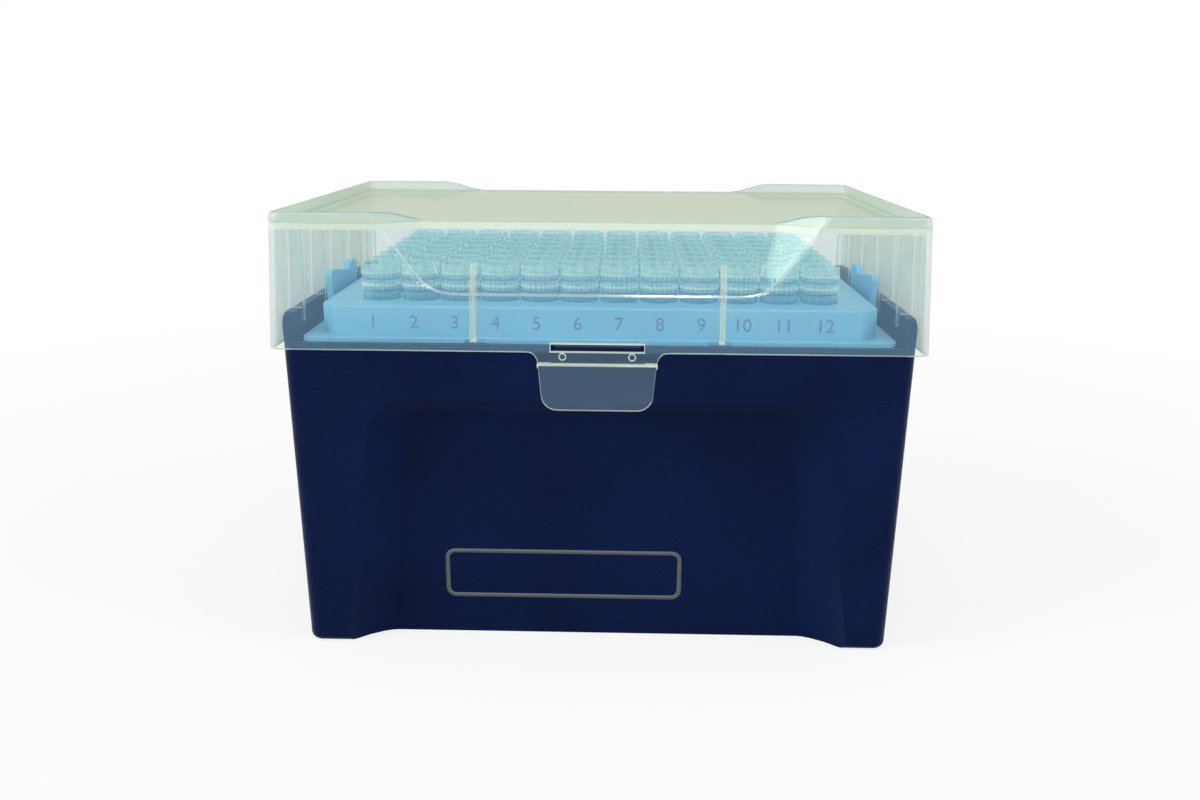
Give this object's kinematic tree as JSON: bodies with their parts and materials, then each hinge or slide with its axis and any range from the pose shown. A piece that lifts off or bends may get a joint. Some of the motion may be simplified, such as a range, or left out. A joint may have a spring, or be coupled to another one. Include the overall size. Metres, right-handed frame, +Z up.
{
  "type": "pipette tip box",
  "caption": "Hinged rectangular box with a clear lid and thumb latch that holds a removable rack of hanging pipette tips on a 9 mm grid.",
  "frame": {"origin": "middle of the flat underside", "axes": "+X right along the long side seen from the latch, +Y from the latch to the hinge, +Z up"},
  "size_m": [0.142, 0.1049, 0.1012],
  "materials": {
    "base_plastic": "fine matt moulded",
    "rack_plastic": "satin moulded",
    "tip_plastic": "translucent",
    "lid_plastic": "clear"
  },
  "bodies": {
    "box": {"base": "base_plastic", "rack": "rack_plastic", "tip_column_01": "tip_plastic", "tip_column_02": "tip_plastic", "tip_column_03": "tip_plastic", "tip_column_04": "tip_plastic", "tip_column_05": "tip_plastic", "tip_column_06": "tip_plastic", "tip_column_07": "tip_plastic", "tip_column_08": "tip_plastic", "tip_column_09": "tip_plastic", "tip_column_10": "tip_plastic", "tip_column_11": "tip_plastic", "tip_column_12": "tip_plastic"},
    "lid": {"lid": "lid_plastic"},
    "latch_flap": {"latch_flap": "lid_plastic"}
  },
  "joints": [
    {"name": "lid_hinge", "type": "hinge", "parent": "box", "child": "lid", "pos_m": [0, 0.05241, 0.071], "axis": [-1, 0, 0], "range_deg": [0, 105]},
    {"name": "latch_flap_crease", "type": "hinge", "parent": "lid", "child": "latch_flap", "pos_m": [0, -0.04854, 0.06913], "axis": [-1, 0, 0], "range_deg": [0, 90]}
  ]
}
